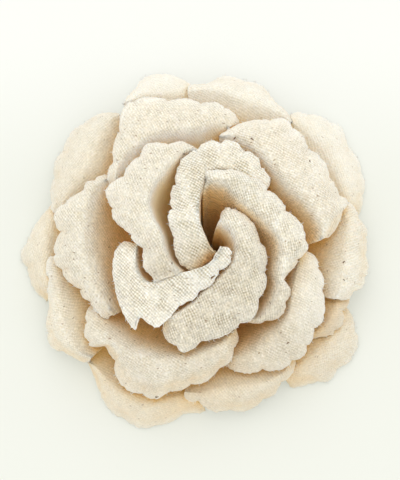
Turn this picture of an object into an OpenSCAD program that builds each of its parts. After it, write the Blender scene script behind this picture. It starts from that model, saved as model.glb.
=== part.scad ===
/* [Cloth] */
// Thickness of every petal's wall
wall = 1; // [0.8:0.1:1.2]
// How far a lobe of the scalloped rim stands out of the rim's line
lobe_out = 0.3; // [0.2:0.1:0.4]
// How far a notch of the scalloped rim goes in from the rim's line
notch_in = 0.7; // [0.5:0.1:1]
// How far along its flap a petal stays level before it turns down
flap_level = 0.55; // [0.45:0.05:0.65]
// How far the cloth takes to bend at a fold
fold_bend = 2.5; // [2:0.5:3]
// The same for the open petal on the right of the heart
wide_bend = 6; // [5:0.5:7]
// The same for the petal at the lower left of the heart, whose fold stands against two others
tight_bend = 1; // [0.5:0.25:1.25]

/* [Feet] */
// Where a middle petal stands, as a share of the way from the axis to its fold
middle_foot = 0.55; // [0.54:0.01:0.56]
// Where an outer petal stands
outer_foot = 0.58; // [0.57:0.01:0.59]
// Where a base petal stands
base_foot = 0.64; // [0.63:0.01:0.65]

/* [Backing] */
// Radius of the felt disc that the petals stand on
backing_r = 31; // [30.5:0.5:33]
// Thickness of the felt disc
backing_t = 1.5; // [1.2:0.1:1.8]
// Height of the disc's underside above the surface
backing_z = 5.8; // [5.4:0.1:6]
// Clearance between the disc and the petals' feet
foot_gap = 0.3; // [0.2:0.1:0.5]

/* [Pin] */
// Length of the pin's bar
bar_l = 32; // [28:1:36]
// Width of the pin's bar
bar_w = 5; // [4:0.5:6]
// Thickness of the pin's bar
bar_t = 0.8; // [0.6:0.1:1]
// Radius of the pin's stem
stem_r = 0.45; // [0.35:0.05:0.5]
// Height of the stem's axis above the surface
stem_z = 1.6; // [1.6:0.1:1.8]
// How far the stem's point passes the catch
point_l = 3; // [2:0.5:4]

/* [Hidden] */
$fn = 48;
linen = [0.93, 0.89, 0.8];
felt = [0.9, 0.86, 0.76];
steel = [0.72, 0.72, 0.74];
// Moves the flower so that its box is centred on the origin
centre = [1.4, 0.1];
// Where the petals are rolled, measured from the middle of the picture
axis = [4.4, -3.9];
foot_z = backing_z + backing_t + foot_gap;
// Where the middle point of a wall's or a flap's curve is taken
middle = 0.55;
// The most of a wall's depth that its bend takes, and of a flap that a notch takes
most_bend = 0.6;
most_notch = 0.4;
// The height of a narrow lobe as a share of its width, and how full its arc is
lobe_share = 0.13;
lobe_round = 0.6;
// How many sections a row of a table gets
row_parts = 2.3;
bar_z = backing_z - bar_t;
// The block at the start of the bar, and the catch at its end
block_l = 1.6;
block_under = 0.6;
block_z = stem_z - stem_r - block_under;
catch_l = 2;
catch_t = 0.6;
catch_room = 0.5;
catch_r = stem_r + catch_room + catch_t;
slot_room = 0.2;
catch_slot = 2 * stem_r + slot_room;

// Every petal is a table with one row for each section across its cloth, in order along the rim:
// fold x, fold y, fold height, rim x, rim y, rim height.
FOLD = [0, 1, 2];
RIM = [3, 4, 5];

// The heart: five petals rolled around the axis
inner_roll_rows = [
    [17.1, 8.9, 33, 19.9, 12.8, 32],
    [13.9, 12.8, 33.5, 17.8, 17.8, 32.5],
    [9.7, 14.8, 34.3, 13.4, 22.5, 32.9],
    [5.5, 15.5, 35.5, 6.9, 24.9, 33.5],
    [2.4, 14.1, 36, 1.4, 24, 34.3],
    [1.1, 10.8, 38.9, -3.9, 20.1, 35.9],
    [0.8, 7.3, 40.3, -6.7, 14.6, 37.3],
    [0.8, 3.9, 41.1, -8, 7.8, 38.7],
    [1.1, 0.4, 41.6, -8.5, 1.5, 40.1],
    [2.2, -2.8, 41.2, -7.1, -5.8, 39.6],
    [3.2, -4.9, 40.3, -4.4, -11.2, 37.8],
    [4, -5.5, 38.8, 0.6, -10.2, 37.2],
    [4.5, -5.6, 37.6, 3.6, -7.3, 37.2]
];
left_roll_rows = [
    [0.8, 21.3, 32.9, -0.6, 23.2, 32.1],
    [-3.3, 20.4, 34.3, -6.1, 24.7, 32.1],
    [-6.3, 17.9, 36.5, -13.9, 24.1, 32.1],
    [-8.8, 14.4, 37.5, -17.8, 20.2, 31.9],
    [-11.6, 10.3, 38.1, -22, 15.5, 31.7],
    [-12.7, 6.3, 38.5, -25.9, 10.9, 32.1],
    [-11.6, 2.3, 38.8, -24.4, 4.2, 33.1],
    [-9.4, -1.7, 38.8, -20.2, -1.8, 35.3],
    [-8.3, -6, 38.5, -16.3, -6.8, 37.2],
    [-6.9, -9.3, 38, -15.1, -12.2, 37.6],
    [-4.2, -11.6, 37.7, -12.3, -15, 37.6]
];
lower_left_roll_rows = [
    [5.6, -6.7, 41, 7, -6.1, 40.9],
    [4.6, -8.3, 41.2, 9.2, -8.2, 40.6],
    [2.4, -10.7, 41, 7.4, -11.9, 40.2],
    [0.3, -12.1, 40.1, 3.6, -15.6, 39.4],
    [-3.3, -13.1, 38, -0.3, -19.2, 38.4],
    [-7.7, -14.1, 36.1, -5.5, -22.7, 37.1],
    [-11.5, -14.9, 35.3, -11.6, -27.6, 36.1],
    [-13.1, -15, 35.2, -16.6, -25.8, 35.4],
    [-14.6, -15, 35.2, -18.7, -28.6, 33.5],
    [-16.6, -13.1, 35.3, -22.2, -21.9, 32.5],
    [-17.4, -10.1, 34.9, -24.1, -12.2, 32.5],
    [-17.4, -6.7, 34.1, -23.4, -6, 31.9],
    [-17, -4.6, 33.3, -21.6, -3.2, 31.4]
];
lower_roll_rows = [
    [5.8, 0, 38.2, 5.4, 3.6, 37],
    [7.9, -1.5, 38.8, 9.2, 5.3, 36.6],
    [8.9, -3.5, 38.5, 14.1, 1.1, 35.5],
    [9.2, -6.3, 38.3, 17.4, -4.7, 34.8],
    [7.8, -9.4, 38.1, 18.6, -10.9, 34.3],
    [5.4, -12.1, 37.8, 17.5, -17.9, 33.8],
    [2.5, -14.6, 37.3, 14.4, -24.9, 33.3],
    [-0.6, -17.4, 36.7, 8.3, -29, 32.9],
    [-3.3, -20.4, 36.1, 0.6, -31.9, 32.5],
    [-6.1, -22.6, 35.5, -5.5, -34.2, 32.1],
    [-8, -23.2, 34.9, -10.8, -28.2, 32.5]
];
right_roll_rows = [
    [2.8, 10.2, 37.4, 2.5, 12.4, 37.1],
    [3.7, 11.8, 38.5, 2.4, 14.9, 38.4],
    [5.8, 11.6, 39.1, 6.1, 15.5, 37.5],
    [8.5, 9.1, 38.9, 11.9, 15.6, 36.5],
    [11.8, 5.9, 38.1, 17.2, 12.9, 34.9],
    [15.7, 3, 37.1, 21.9, 8.5, 33.5],
    [19.6, -0.2, 36.1, 26.8, 3, 32.1],
    [22.5, -4.2, 35.1, 30.1, -3.5, 30.9],
    [22.2, -8.7, 34.3, 27.7, -8.3, 30.5],
    [20.9, -13, 33.3, 24, -12.9, 30.9],
    [20.9, -17, 32.1, 25.2, -16.9, 29.5],
    [19, -21.2, 30.9, 23.6, -22.2, 28.5],
    [15.4, -24, 30, 18.6, -25.8, 27.9],
    [11.2, -24.1, 29.9, 11.5, -25.2, 28.5]
];

// The middle ring: five petals, from the upper right round to the left
upper_right_rows = [
    [5.6, 26, 28, 5.3, 29.1, 26.5],
    [10.6, 24.2, 29, 10.7, 31.6, 25],
    [14.5, 21.6, 29.4, 17.4, 32.6, 24.4],
    [17.9, 18.1, 29.8, 23.9, 32.8, 24.2],
    [21.2, 14.1, 30, 27.9, 29.4, 24],
    [24.3, 10.7, 30, 31.6, 24.4, 23.8],
    [27.4, 8, 29.6, 36.2, 19.7, 23],
    [29.9, 4.9, 29, 38.8, 13.8, 22.4],
    [31.6, 1.7, 28, 42.2, 10, 21.6],
    [32.3, -0.9, 26.6, 40.3, 5.7, 21.6],
    [31.8, -2.7, 25, 36.8, -0.6, 22]
];
upper_left_rows = [
    [-21.9, 11.5, 27, -26, 14.6, 25.6],
    [-21.8, 16, 27.6, -25.6, 19.3, 25],
    [-20.2, 19.6, 28.2, -24.6, 25.1, 24.4],
    [-17.1, 22.8, 28.6, -22.9, 30.9, 24],
    [-13.1, 25.4, 28.8, -20.1, 38.1, 23.4],
    [-8.9, 26.7, 29, -12.7, 39.5, 23.2],
    [-4.2, 27, 29, -4.8, 39.2, 23.2],
    [0, 27.6, 28.2, 2.3, 38.3, 23.2],
    [3.4, 29.1, 26.2, 7.6, 36.9, 23],
    [6.7, 30.1, 24.2, 11.6, 32.6, 22.6]
];
left_rows = [
    [-24.7, 15.2, 24, -26, 18.1, 23],
    [-27, 12.4, 25, -31.6, 16.1, 22],
    [-28.6, 8.3, 26, -35, 11.7, 21],
    [-29.4, 4.3, 26.6, -40.5, 7.2, 20.4],
    [-29.6, -0.4, 27, -40.5, 0.4, 20.2],
    [-29.1, -5.5, 27, -41.9, -5.6, 20],
    [-27.7, -10.5, 26.6, -38.8, -10.5, 20.4],
    [-26.1, -15, 26, -34.5, -14.6, 21],
    [-24.1, -18.6, 25.4, -31.6, -18.4, 21.8],
    [-21.9, -21.7, 24.9, -26.4, -24.4, 22.8]
];
lower_left_rows = [
    [-27, -21.3, 20.8, -31.1, -19.2, 19],
    [-25.9, -24.5, 22.2, -32.6, -25.7, 18.8],
    [-23, -27.6, 24.6, -31.8, -31.1, 19],
    [-19.6, -30.2, 26, -26.3, -33, 19],
    [-15.9, -32, 26.8, -23.8, -39.5, 18.6],
    [-11.7, -32.9, 27.2, -19.3, -43.8, 18.4],
    [-7.8, -33.1, 27.4, -13.1, -45.5, 18.2],
    [-3.4, -32.6, 27.4, -6.5, -43.8, 18.4],
    [0.8, -31.1, 27.6, 0, -41.9, 19],
    [4.5, -29, 27.8, 5.7, -38.5, 20.6],
    [7.3, -26.6, 27.4, 9.4, -34.3, 22.4],
    [8.7, -24.2, 26.4, 11.3, -28.9, 24]
];
lower_right_rows = [
    [29.2, -4.6, 24.2, 32.2, -5.4, 22.8],
    [28.6, -8, 25.2, 34.7, -9.8, 21.6],
    [27.2, -12.1, 25.8, 35.7, -16.2, 20.6],
    [25.8, -16.7, 25.8, 34.4, -23.4, 20],
    [23.6, -20.9, 25, 31.9, -27.9, 19.6],
    [20.6, -24.6, 24.2, 29.6, -33.6, 19],
    [17.2, -27.6, 23.6, 23.9, -37.1, 18.6],
    [13.9, -30.4, 22.6, 16.2, -38.6, 18.4],
    [10.4, -31.8, 20.8, 7.4, -37.4, 18]
];

// The outer ring: six petals that reach the flower's outline
outer_right_rows = [
    [37.4, 10.8, 15.4, 43.8, 11.2, 11.6],
    [38, 6.6, 16.2, 45.7, 7.8, 9],
    [38.3, 2.4, 16.6, 48.4, 3.7, 6.6],
    [38, -2.2, 16.8, 48.8, -0.9, 5.2],
    [37.4, -6.8, 16.4, 49.4, -5.3, 5],
    [36.8, -11, 16.2, 48.1, -10.6, 7.6],
    [36.3, -14.3, 16.2, 44.8, -14.4, 11.2],
    [35.7, -17, 15.8, 41.3, -17.4, 12.8]
];
outer_top_rows = [
    [-3.4, 40.6, 15.8, -3.5, 46.4, 12.4],
    [1.4, 41, 15.4, 1.2, 48.3, 9.4],
    [6.5, 40, 15.6, 6.6, 50.3, 7.4],
    [10.8, 38.2, 15.8, 12.2, 50, 6.2],
    [14.8, 36.5, 15.8, 17.9, 48.3, 6],
    [18.5, 35.2, 15.4, 21.7, 43.3, 7.4],
    [22.2, 34, 15, 24.6, 39.2, 9.2],
    [25.1, 33.1, 14.2, 26.8, 35.6, 10.8]
];
outer_upper_left_rows = [
    [-22, 34.4, 16.2, -24.1, 38.3, 13],
    [-24.6, 30.6, 16.8, -29.7, 37.8, 9.4],
    [-26.3, 26.3, 17.2, -35.6, 35.4, 7],
    [-27.7, 22, 17.2, -39.5, 30.6, 6],
    [-29.7, 17.8, 16.8, -42.1, 25.3, 6.2],
    [-32.3, 14.3, 15.8, -43.5, 19, 7.4],
    [-35.2, 11.4, 15, -43.5, 13, 10],
    [-37.5, 8.6, 14.2, -42.4, 8.6, 11.4]
];
outer_left_rows = [
    [-36.9, -6.6, 14.4, -43.4, -4, 12.2],
    [-36.9, -11.8, 14.8, -43.9, -9.4, 11.6],
    [-36.6, -16.8, 14.8, -43.8, -15, 10.4],
    [-36.1, -21.3, 14.6, -44.1, -20.5, 7.6],
    [-35.3, -25.1, 14.4, -44, -25.6, 5.8],
    [-33.9, -27.9, 14, -41.9, -30.2, 6],
    [-31.9, -30.1, 13.6, -36.5, -33, 7.8],
    [-29.7, -31.8, 13, -31.7, -35.1, 9.6]
];
outer_bottom_rows = [
    [25, -32.3, 14, 27.7, -34.7, 11],
    [22.5, -35.2, 14.4, 25.6, -38.6, 10],
    [18.8, -37.3, 14.4, 22.6, -42.1, 8.4],
    [14.2, -38.8, 14.4, 18, -45.6, 6.6],
    [9.4, -39.1, 14.2, 12.6, -48.1, 5.8],
    [4.5, -39.3, 13.8, 5.2, -48.6, 6.8],
    [0, -40.9, 13.2, 0, -46.7, 9],
    [-4, -42, 12.6, -4.6, -44.6, 10.4]
];
outer_lower_right_rows = [
    [37.4, -14.2, 12, 43.8, -15.4, 8.6],
    [36.8, -17.9, 13.8, 41.6, -19.4, 10.6],
    [35.7, -21.2, 15, 40.7, -23.7, 11.4],
    [33.2, -23.8, 15.4, 38, -26.7, 11.6],
    [30.3, -26, 15.4, 33.8, -27.6, 12],
    [28, -27.8, 15, 30.4, -28.8, 12.4]
];

// The base ring: five petals that lie on the surface
base_upper_right_rows = [
    [26.6, 33.4, 10.6, 26, 38.9, 8],
    [29.4, 30.7, 11, 30.8, 39.9, 5],
    [32.3, 27.5, 11, 36.4, 38.6, 3],
    [34.9, 24, 11, 41.2, 36.4, 1.8],
    [36.9, 20.2, 11, 43.8, 31.2, 1.4],
    [38.3, 16.4, 11, 46.5, 26.3, 1.2],
    [39.2, 12.6, 10.8, 48, 20.7, 1.2],
    [39.5, 9.2, 10.6, 47.9, 15.3, 1.6],
    [39.5, 6.1, 10.4, 46.3, 9, 3]
];
base_top_rows = [
    [-21.2, 38.2, 14.4, -22.8, 41, 9],
    [-17.7, 39.4, 14.8, -20.6, 44.8, 7],
    [-14, 40, 15, -16.9, 49.8, 5.2],
    [-10.3, 40.3, 15, -11.6, 51.9, 4],
    [-6.9, 40.3, 14.2, -7, 50.1, 5],
    [-1.1, 40.3, 13.2, -1.2, 47, 7]
];
base_left_rows = [
    [-38.7, 10.6, 10, -44.1, 12.4, 5],
    [-39.8, 6.6, 10.4, -47.2, 7.8, 3],
    [-40.7, 2, 10.4, -50.5, 1.9, 1.6],
    [-41, -2.7, 10.4, -52.1, -2.5, 1.2],
    [-40.7, -7.4, 10.2, -51, -6.4, 1.2],
    [-40.4, -11.7, 10, -48.3, -11.8, 1.6],
    [-39.9, -15.7, 9.6, -44.9, -15.9, 2.4]
];
base_lower_left_rows = [
    [-31.2, -32, 9.4, -32.9, -34.2, 3.6],
    [-28.2, -34.2, 10.2, -30.1, -38.8, 1.8],
    [-25, -37.3, 10.4, -28.6, -43.7, 1.2],
    [-21.3, -39.9, 10.4, -25.2, -48.7, 1],
    [-17.3, -41.6, 10.4, -19.6, -51.4, 1],
    [-13, -42.5, 10.4, -14.1, -52, 1],
    [-8.6, -42.1, 10.2, -8.2, -50.3, 1.2],
    [-4.6, -41.4, 9.6, -2.6, -48.5, 1.6],
    [-0.9, -41.4, 9.2, 1.8, -48.3, 2.4]
];
base_lower_right_rows = [
    [37.6, -18.4, 9.2, 42.2, -17, 5],
    [37, -22, 9.6, 44.8, -21.6, 3],
    [35.2, -25.5, 10, 45.8, -26.8, 1.8],
    [32.8, -28.7, 10.2, 44.3, -31.9, 1.4],
    [30, -31.1, 10.2, 40.7, -35.1, 1.2],
    [26.8, -33, 10, 37.5, -39, 1.2],
    [24, -34.8, 9.6, 32.1, -40.2, 1.6],
    [21.6, -36.5, 9.2, 26.2, -41.6, 2.6]
];

function pick(row, columns) = [for (c = columns) row[c]];
function unit(v) = v / max(norm(v), 0.001);

// A smooth value of a table at u, where whole numbers are its rows
function smooth(rows, u) =
    let (last = len(rows) - 1)
    let (i = min(floor(u), last - 1))
    let (f = u - i)
    let (a = rows[max(i - 1, 0)], b = rows[i], c = rows[i + 1], d = rows[min(i + 2, last)])
    (2 * b + (c - a) * f + (2 * a - 5 * b + 4 * c - d) * f * f + (3 * b - 3 * c + d - a) * f * f * f) / 2;

function curve(a, b, c, d, f) =
    a * pow(1 - f, 3) + 3 * b * f * pow(1 - f, 2) + 3 * c * f * f * (1 - f) + d * pow(f, 3);

// One section across a petal: its foot, its inner wall, its fold, its flap and its rim
function section(row, foot_share, bend, out) =
    let (fold = pick(row, FOLD), rim = pick(row, RIM))
    let (foot = [for (k = [0, 1]) axis[k] + foot_share * (fold[k] - axis[k]), foot_z])
    let (back = [foot[0] - fold[0], foot[1] - fold[1], 0])
    let (upright = [foot[0], foot[1], (foot[2] + fold[2]) / 2])
    let (turn = fold + unit(back) * min(bend, most_bend * norm(back)))
    let (flap = rim - fold)
    let (edge = rim + unit(flap) * max(out, -most_notch * norm(flap)))
    let (level = fold + flap_level * [edge[0] - fold[0], edge[1] - fold[1], 0])
    [
        foot,
        curve(foot, upright, turn, fold, middle),
        fold,
        curve(fold, (fold + 2 * level) / 3, (edge + 2 * level) / 3, edge, middle),
        edge
    ];

function across(grid, i, j) = grid[min(i + 1, len(grid) - 1)][j] - grid[max(i - 1, 0)][j];
function along(grid, i, j) = grid[i][min(j + 1, len(grid[i]) - 1)] - grid[i][max(j - 1, 0)];

// A petal: a sheet through its sections, thickened to the wall on its hidden side. Its rim goes in at
// the notches, which are row numbers, and has a round lobe between each two.
module petal(rows, notches, foot_share, bend = fold_bend) {
    face = [
        for (k = [0:len(notches) - 2])
            let (from = notches[k], to = notches[k + 1])
            let (wide = norm(pick(smooth(rows, to), RIM) - pick(smooth(rows, from), RIM)))
            let (lobe = min(notch_in + lobe_out, lobe_share * wide))
            let (parts = max(3, ceil(row_parts * (to - from))))
            for (i = [k == 0 ? 0 : 1:parts])
                let (row = smooth(rows, from + (to - from) * i / parts))
                section(row, foot_share, bend, lobe * pow(sin(180 * i / parts), lobe_round) - notch_in)
    ];
    columns = len(face) - 1;
    steps = len(face[0]);
    // The wall goes below the flap, whichever way round the table runs
    half = floor(columns / 2);
    below = cross(across(face, half, steps - 2), along(face, half, steps - 2))[2] < 0 ? 1 : -1;
    back = [
        for (i = [0:columns])
            [
                for (j = [0:steps - 1])
                    let (through = below * cross(across(face, i, j), along(face, i, j)))
                    face[i][j] + wall * unit([through[0], through[1], j == 0 ? 0 : through[2]])
            ]
    ];
    count = (columns + 1) * steps;
    points = [for (sheet = [face, back]) for (i = [0:columns]) for (j = [0:steps - 1]) sheet[i][j]];
    function at(i, j) = i * steps + j;
    sides = [
        for (i = [0:columns - 1])
            for (j = [0:steps - 2])
                let (a = at(i, j), b = at(i + 1, j), c = at(i + 1, j + 1), d = at(i, j + 1))
                for (side = [[a, c, b], [a, d, c]])
                    side
    ];
    ring = concat(
        [for (i = [0:columns]) at(i, 0)],
        [for (j = [1:steps - 1]) at(columns, j)],
        [for (i = [1:columns]) at(columns - i, steps - 1)],
        [for (j = [1:steps - 2]) at(0, steps - 1 - j)]
    );
    edges = [
        for (k = [0:len(ring) - 1])
            let (a = ring[k], b = ring[(k + 1) % len(ring)])
            for (side = [[a, b, count + b], [a, count + b, count + a]])
                side
    ];
    faces = concat(sides, [for (f = sides) [count + f[0], count + f[2], count + f[1]]], edges);
    color(linen)
        translate([centre[0], centre[1], 0])
            polyhedron(points, [for (f = faces) below > 0 ? [f[2], f[1], f[0]] : f]);
}

module heart_petal_1() {
    petal(inner_roll_rows, [0, 1.05, 2.1, 3.2, 4.4, 6.4, 7.5, 8.7, 10, 11.1, 12], foot_share = 0.5);
}
module heart_petal_2() {
    petal(left_roll_rows, [0, 1.4, 2.8, 4, 5.75, 7.05, 7.9, 9.5, 10], foot_share = 0.5);
}
module heart_petal_3() {
    petal(lower_left_roll_rows, [0, 1.2, 2.4, 3.9, 5, 7, 8, 12], foot_share = 0.55, bend = tight_bend);
}
module heart_petal_4() {
    petal(lower_roll_rows, [0, 1, 2.85, 4.25, 5.3, 6.5, 8, 9.2, 10], foot_share = 0.65);
}
module heart_petal_5() {
    petal(right_roll_rows, [0, 2.15, 3.45, 4.45, 5.55, 6.9, 8, 9.3, 10.6, 12, 13], foot_share = 0.4, bend = wide_bend);
}

module middle_petal_1() {
    petal(upper_right_rows, [0, 1.15, 2.4, 3.6, 4.85, 6.4, 7.4, 8.7, 10], foot_share = middle_foot);
}
module middle_petal_2() {
    petal(upper_left_rows, [0, 1.35, 2.85, 4.2, 5.5, 6.7, 7.9, 9], foot_share = middle_foot);
}
module middle_petal_3() {
    petal(left_rows, [0, 0.8, 1.6, 2.6, 3.85, 4.9, 5.8, 7.15, 8.1, 9], foot_share = middle_foot);
}
module middle_petal_4() {
    petal(lower_left_rows, [0, 0.8, 1.8, 2.75, 3.45, 5.5, 6.7, 7.6, 9, 10.3, 11], foot_share = middle_foot);
}
module middle_petal_5() {
    petal(lower_right_rows, [0, 0.9, 1.85, 3.7, 4.6, 5.6, 6.8, 8], foot_share = middle_foot);
}

module outer_petal_1() {
    petal(outer_right_rows, [0, 1.2, 2.3, 3.5, 4.8, 6.1, 7], foot_share = outer_foot);
}
module outer_petal_2() {
    petal(outer_top_rows, [0, 1.1, 3.25, 5.4, 7], foot_share = outer_foot - 0.04);
}
module outer_petal_3() {
    petal(outer_upper_left_rows, [0, 1.8, 3.45, 4.85, 6.2, 7], foot_share = outer_foot);
}
module outer_petal_4() {
    petal(outer_left_rows, [0, 1.3, 2.6, 4, 5.4, 7], foot_share = outer_foot);
}
module outer_petal_5() {
    petal(outer_bottom_rows, [0, 1.65, 2.95, 4.55, 6.1, 7], foot_share = outer_foot);
}
module outer_petal_6() {
    petal(outer_lower_right_rows, [0, 1.2, 2.7, 5], foot_share = outer_foot + 0.05);
}

module base_petal_1() {
    petal(base_upper_right_rows, [0, 1.2, 2.5, 4.2, 5.6, 6.9, 8], foot_share = base_foot);
}
module base_petal_2() {
    petal(base_top_rows, [0, 1.5, 3, 5], foot_share = base_foot);
}
module base_petal_3() {
    petal(base_left_rows, [0, 2.1, 3.9, 6], foot_share = base_foot);
}
module base_petal_4() {
    petal(base_lower_left_rows, [0, 1.8, 3.5, 5.2, 6.6, 8], foot_share = base_foot);
}
module base_petal_5() {
    petal(base_lower_right_rows, [0, 1.5, 3, 4.2, 5.6, 7], foot_share = base_foot + 0.06);
}

// The felt disc that every petal's foot stands on
module backing() {
    color(felt)
        translate([axis[0] + centre[0], axis[1] + centre[1], backing_z])
            cylinder(r = backing_r, h = backing_t);
}

// The pin's open catch: a ring with a slot, on a leg under the bar
module catch() {
    rotate([0, 90, 0]) difference() {
        cylinder(r = catch_r, h = catch_l);
        translate([0, 0, -catch_t]) cylinder(r = catch_r - catch_t, h = catch_l + 2 * catch_t);
        translate([-catch_slot / 2, 0, -catch_t]) cube([catch_slot, 2 * catch_r, catch_l + 2 * catch_t]);
    }
    leg_z = catch_r - catch_t / 2;
    translate([0, -catch_t / 2, leg_z]) cube([catch_l, catch_t, bar_z - stem_z - leg_z]);
}

// A straight pin held by a block at one end of its bar and by the catch at the other
module brooch_pin() {
    start = -bar_l / 2;
    color(steel) translate([axis[0] + centre[0], axis[1] + centre[1], 0]) {
        translate([start, -bar_w / 2, bar_z]) cube([bar_l, bar_w, bar_t]);
        translate([start, -bar_w / 2, block_z]) cube([block_l, bar_w, bar_z - block_z]);
        translate([start + block_l / 2, 0, stem_z])
            rotate([0, 90, 0]) cylinder(r = stem_r, h = bar_l - block_l / 2 + point_l);
        translate([bar_l / 2 - catch_l, 0, stem_z]) catch();
    }
}

heart_petal_1();
heart_petal_2();
heart_petal_3();
heart_petal_4();
heart_petal_5();
middle_petal_1();
middle_petal_2();
middle_petal_3();
middle_petal_4();
middle_petal_5();
outer_petal_1();
outer_petal_2();
outer_petal_3();
outer_petal_4();
outer_petal_5();
outer_petal_6();
base_petal_1();
base_petal_2();
base_petal_3();
base_petal_4();
base_petal_5();
backing();
brooch_pin();
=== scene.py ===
"""A cloth rose corsage: scalloped linen petals, a felt back and a steel pin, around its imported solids.

Lengths in the tables and in the petals' code are in millimetres, as in the part's source. Blender gets
metres, and the floor and the light are given in metres.
"""
import math

import bpy
import numpy as np
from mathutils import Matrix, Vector
from mathutils.bvhtree import BVHTree


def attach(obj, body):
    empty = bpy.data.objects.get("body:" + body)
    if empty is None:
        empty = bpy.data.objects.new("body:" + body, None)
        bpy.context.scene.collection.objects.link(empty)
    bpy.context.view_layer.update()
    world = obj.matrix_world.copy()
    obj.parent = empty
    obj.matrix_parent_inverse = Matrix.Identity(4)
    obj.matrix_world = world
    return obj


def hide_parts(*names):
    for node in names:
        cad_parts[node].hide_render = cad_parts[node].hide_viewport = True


MM = 0.001

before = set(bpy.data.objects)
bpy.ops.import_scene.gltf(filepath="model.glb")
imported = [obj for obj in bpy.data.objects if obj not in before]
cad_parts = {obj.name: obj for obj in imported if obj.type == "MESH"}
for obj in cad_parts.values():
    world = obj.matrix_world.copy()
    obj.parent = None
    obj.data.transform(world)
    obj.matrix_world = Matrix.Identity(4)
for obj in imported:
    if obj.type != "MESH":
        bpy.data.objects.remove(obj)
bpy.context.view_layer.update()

# The flower's frame, as in the part's source
CENTRE = np.array([1.4, 0.1, 0])
AXIS = np.array([4.4, -3.9])
FOOT_Z = 7.6

# The photo in pixels, and the camera that took it
PHOTO_WIDE = 400
PHOTO_HIGH = 480
PHOTO_FOCAL = 2098
CAMERA_TARGET = (1.4, 0.1, 15)
CAMERA_AWAY = 600
CAMERA_ELEVATION = 80
CAMERA_SENSOR = 36
CAMERA_NEAREST = 20
SIGHT_SLOPE = 0.176  # how far the line of sight leans to the back, for each millimetre down

# The petals' curves
FLAP_LEVEL = 0.55  # the share of the flap that stays level
MOST_BEND = 1  # the most that the bend takes of the way from the fold to the foot
MOST_ROLL = 0.42  # the most that the crest takes of the flap
UPRIGHT = (0.25, 0.25, 0.27)  # where the wall's lower control point is, as shares from foot to fold
TURN_DOWN = 0.5
CREST_UP = 0.2
WALL_EASE = 1.5  # draws the wall's points together at the crest
WALL_AHEAD = 0.8  # how much the wall's threads keep to the whole petal's direction

# The scalloped rims
LOBE_OUT = 0.25
NOTCH_IN = 0.6
MOST_NOTCH = 0.4  # the most that a notch takes of the flap
LOBE_SHARE = 0.115  # a lobe's height is at most this share of its width
LOBE_ROUND = 0.62
LOBE_HEIGHTS = (0.85, 1.05)
LOBE_SKEWS = (0.85, 1.18)
LEAST_COLUMNS = 8
RIM_WAVER = 0.13
RIM_WAVER_SIZE = 2
RIM_ROUGH = 0.07

# How the lobes stand up a little, each its own way
LOBE_CUP = 0.5
CUP_SPREAD = (0.3, 1.3)
CUP_LEVEL = 0.6
CUP_EASE = 2.5

# How the edges of the flaps lie on the cloth under them
LIE_ROOM = 1  # the room that stays between them
LIE_SHARE = 0.85  # the share of the free fall that an edge takes
MOST_LIE = 1.5
MOST_SIDE_LIE = 3
LIE_FROM = 0.25  # the share of the flap that stays up
LIE_EASE = 1.8
SIDE_SOFT = 5  # how far from a petal's ends its side sinks
SIDE_EASE = 1.5
SIDE_FLAP_EASE = 0.5
EDGE_POINTS = 4
EDGE_SMOOTH = 3
DROP_SMOOTH = 2
RAY_START = 0.1
RAY_LENGTH = 40
FLOOR_ROOM = 0.2

# The cloth, its billows and puckers, and how finely it is drawn
CLOTH_T = 0.55
EDGE_ROUND = 0.12
BILLOW_SIZE = 17
BILLOW_SQUASH = 0.5
WALL_BILLOW = 0.3
RIM_BILLOW = 0.5  # what is added to it towards the rim
PUCKER = 0.04
PUCKER_SIZE = 3.5
RIPPLE_WAVES = 8
RIPPLE_SPREAD = (0.7, 1.5)  # the waves' sizes, as shares of the ripple's size
LEAST_LENGTH = 1e-6
COLUMN = 0.62
WALL_STEPS = 18
FLAP_STEPS = 22

# The weave, in millimetres: its two threads, and how far and how closely they wander
THREAD = 0.515
WEFT_THREAD = THREAD * 1.04
WANDER = 1.1
WANDER_SCALE = 0.3
SLANT = 0.62  # the share of one slant of the rows of dots; the other has the rest
# How closely the thick places follow one another across the threads and along them
SLUB_ACROSS = 2.0
SLUB_ALONG = 0.25
SLUB_HEIGHT = 0.6
CROSSING_HEIGHT = 0.3
WEAVE_RELIEF = 0.12
WEAVE_BUMP = 0.9
SLUB_MIX = (0.1, 0.9)
# Patches: looser weave, small and large unevenness
LOOSE_SCALE = 0.2
BLOTCH_SCALE = 0.95
MOTTLE_SCALE = 0.13
NOISE_RANGE = (0.3, 0.7)  # where most of a noise's values lie
LOOSE_RANGE = (0.35, 0.65)
CROSSING_TONES = (0.89, 1.07)
BLOTCH_TONES = (0.9, 1.06)
MOTTLE_TONES = (0.97, 1.03)
# Small flecks: how they are drawn out, the chances from which they grow, their radius and their strength
FLECK_STRETCH = (0.26, 0.5)
FLECK_CHANCE = (0.5, 1.0)
FLECK_RADIUS = 0.1
FLECK_STRENGTH = 0.65
FLECK_TONE = (0.27, 0.18, 0.1, 1)

# The cloth's colours, and the tones of its painted light and painted shade
WHITE = (1, 1, 1, 1)
THREAD_LOW = (0.82, 0.75, 0.61, 1)
THREAD_HIGH = (0.965, 0.92, 0.83, 1)
GAP_TONE = (0.64, 0.61, 0.52, 1)
SOFT_GAP_TONE = (0.84, 0.82, 0.76, 1)
MEAN_TONE = (0.89, 0.88, 0.86, 1)  # what a weave that is out of focus blends to
# The tones of painted light and of painted shade
PAINTED_LIGHT_TONE = (0.97, 0.95, 0.89, 1)
PAINTED_SHADE_TONE = (0.8, 0.78, 0.75, 1)
# The cut edge's painted highlight: where it starts and ends, in millimetres from the rim, and the painted
# light on the paler cloth beside it
CUT_EDGE = (0.1, 0.45)
CUT_EDGE_MIX = 0.35
RIM_HIGHLIGHT_TONE = (0.96, 0.915, 0.8, 1)
PALE_RIM = 4.5
PALE_RIM_MIX = 0.2
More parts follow.
